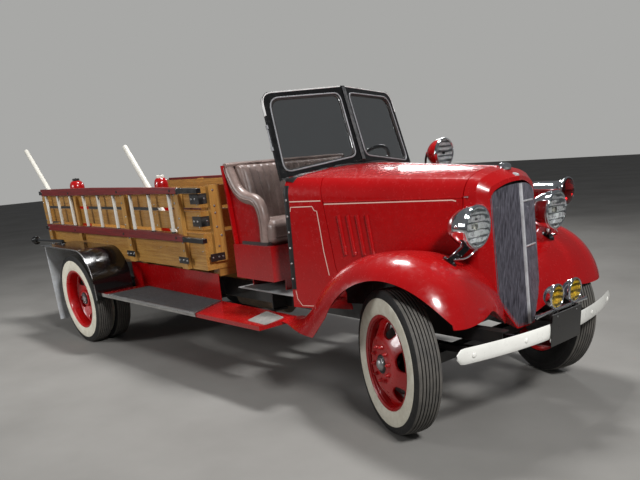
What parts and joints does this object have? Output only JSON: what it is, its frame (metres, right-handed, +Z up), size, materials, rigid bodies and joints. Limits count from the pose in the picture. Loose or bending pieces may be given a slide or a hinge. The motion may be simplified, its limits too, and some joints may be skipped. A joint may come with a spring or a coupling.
{
  "type": "open-cab fire engine",
  "caption": "Open-cab fire engine on a truck chassis: folding hood, V windshield, bench seat, wooden stake bed, side ladders, dual rear wheels, linked steering and rolling wheels.",
  "frame": {"origin": "on the floor at the middle of the bounding box, midway between the front plate and the tail lamps", "axes": "+X forward, +Y to the vehicle's left, +Z up; the front wheels are stored steered 23.2 degrees to the vehicle's right, as pictured"},
  "size_m": [5.73, 2.12, 1.9315],
  "materials": {
    "red_paint": "gloss",
    "black_paint": "gloss",
    "frame_grey": "satin",
    "engine_iron": "rough",
    "tyre": "matt with broad cream sidewall bands",
    "chrome": "polished",
    "charcoal_paint": "satin",
    "cream_paint": "gloss",
    "varnished_wood": "varnished",
    "maroon_wood": "painted",
    "white_wood": "painted",
    "brown_leather": "satin",
    "tinted_glass": "clear, slightly tinted",
    "pale_rubber": "matt",
    "floor_grey": "satin"
  },
  "bodies": {
    "chassis": {"chassis_frame": "frame_grey", "front_axle": "frame_grey", "leaf_springs": "frame_grey", "rear_axle": "frame_grey", "drive_shaft": "frame_grey", "engine_block": "engine_iron", "radiator_core": "charcoal_paint", "exhaust": "engine_iron", "cowl": "red_paint", "firewall": "black_paint", "radiator_shell": "red_paint", "radiator_cap": "chrome", "grille": "charcoal_paint", "front_fender_right": "red_paint", "front_fender_left": "red_paint", "fender_aprons": "black_paint", "rear_fenders": "black_paint", "mud_flaps": "pale_rubber", "running_boards": "red_paint", "splash_aprons": "red_paint", "floor_plate": "floor_grey", "windshield_frame": "black_paint", "windshield_glass": "tinted_glass", "steering_column": "black_paint", "seat_base": "red_paint", "seat_cushion": "brown_leather", "seat_back": "brown_leather", "seat_shell": "red_paint", "bumper": "cream_paint", "bumper_brackets": "black_paint", "fog_lamps": "chrome", "front_plate": "black_paint", "headlamps": "chrome", "siren": "chrome", "spotlight": "red_paint", "bed_floor": "varnished_wood", "bed_boards": "varnished_wood", "bed_stakes": "varnished_wood", "ladder_rails": "maroon_wood", "ladder_rungs": "white_wood", "tail_lamps": "chrome", "bed_equipment": "red_paint", "staffs": "white_wood"},
    "hood_top_right": {"hood_top_right": "red_paint"},
    "hood_side_right": {"hood_side_right": "red_paint"},
    "hood_top_left": {"hood_top_left": "red_paint"},
    "hood_side_left": {"hood_side_left": "red_paint"},
    "knuckle_right": {"knuckle_right": "frame_grey"},
    "knuckle_left": {"knuckle_left": "frame_grey"},
    "tie_rod": {"tie_rod": "frame_grey"},
    "wheel_front_right": {"tyre_front_right": "tyre", "wheel_front_right": "red_paint"},
    "wheel_front_left": {"tyre_front_left": "tyre", "wheel_front_left": "red_paint"},
    "wheels_rear_right": {"tyres_rear_right": "tyre", "wheels_rear_right": "red_paint"},
    "wheels_rear_left": {"tyres_rear_left": "tyre", "wheels_rear_left": "red_paint"},
    "steering_wheel": {"steering_wheel": "black_paint"}
  },
  "joints": [
    {"name": "hood_right_open", "type": "hinge", "parent": "chassis", "child": "hood_top_right", "pos_m": [1.523, 0, 1.43], "axis": [-0.9984, 0, 0.0564], "range_deg": [0, 50]},
    {"name": "hood_right_fold", "type": "hinge", "parent": "hood_top_right", "child": "hood_side_right", "pos_m": [1.523, -0.546, 1.245], "axis": [-0.9579, -0.2872, 0], "range_deg": [-50, 0]},
    {"name": "hood_left_open", "type": "hinge", "parent": "chassis", "child": "hood_top_left", "pos_m": [1.523, 0, 1.43], "axis": [0.9984, 0, -0.0564], "range_deg": [0, 50]},
    {"name": "hood_left_fold", "type": "hinge", "parent": "hood_top_left", "child": "hood_side_left", "pos_m": [1.523, 0.546, 1.245], "axis": [0.9579, -0.2872, 0], "range_deg": [-50, 0]},
    {"name": "steer_right", "type": "hinge", "parent": "chassis", "child": "knuckle_right", "pos_m": [2.297, -0.606, 0.41], "axis": [0, 0, 1], "range_deg": [-8.8, 55.2]},
    {"name": "steer_left", "type": "hinge", "parent": "chassis", "child": "knuckle_left", "pos_m": [2.297, 0.606, 0.41], "axis": [0, 0, 1], "range_deg": [-8.8, 55.2]},
    {"name": "tie_rod_pivot", "type": "hinge", "parent": "knuckle_right", "child": "tie_rod", "pos_m": [2.15913, -0.54691, 0.338], "axis": [0, 0, 1], "range_deg": [-55.2, 8.8]},
    {"name": "steering_wheel_turn", "type": "hinge", "parent": "chassis", "child": "steering_wheel", "pos_m": [1.085, 0.33, 1.395], "axis": [-0.766, 0, 0.6428], "range_deg": [-123.2, 772.8]},
    {"name": "roll_front_right", "type": "hinge", "parent": "knuckle_right", "child": "wheel_front_right", "pos_m": [2.2517, -0.7117, 0.41], "axis": [0.3939, 0.9191, 0], "continuous": true},
    {"name": "roll_front_left", "type": "hinge", "parent": "knuckle_left", "child": "wheel_front_left", "pos_m": [2.3423, 0.7117, 0.41], "axis": [0.3939, 0.9191, 0], "continuous": true},
    {"name": "roll_rear_right", "type": "hinge", "parent": "chassis", "child": "wheels_rear_right", "pos_m": [-1.44, -0.962, 0.41], "axis": [0, 1, 0], "continuous": true},
    {"name": "roll_rear_left", "type": "hinge", "parent": "chassis", "child": "wheels_rear_left", "pos_m": [-1.44, 0.962, 0.41], "axis": [0, 1, 0], "continuous": true}
  ],
  "couplings": [
    {"joint": "steer_left", "follows": "steer_right", "ratio": 1},
    {"joint": "tie_rod_pivot", "follows": "steer_right", "ratio": -1},
    {"joint": "steering_wheel_turn", "follows": "steer_right", "ratio": 14},
    {"joint": "hood_right_fold", "follows": "hood_right_open", "ratio": -1},
    {"joint": "hood_left_fold", "follows": "hood_left_open", "ratio": -1}
  ]
}
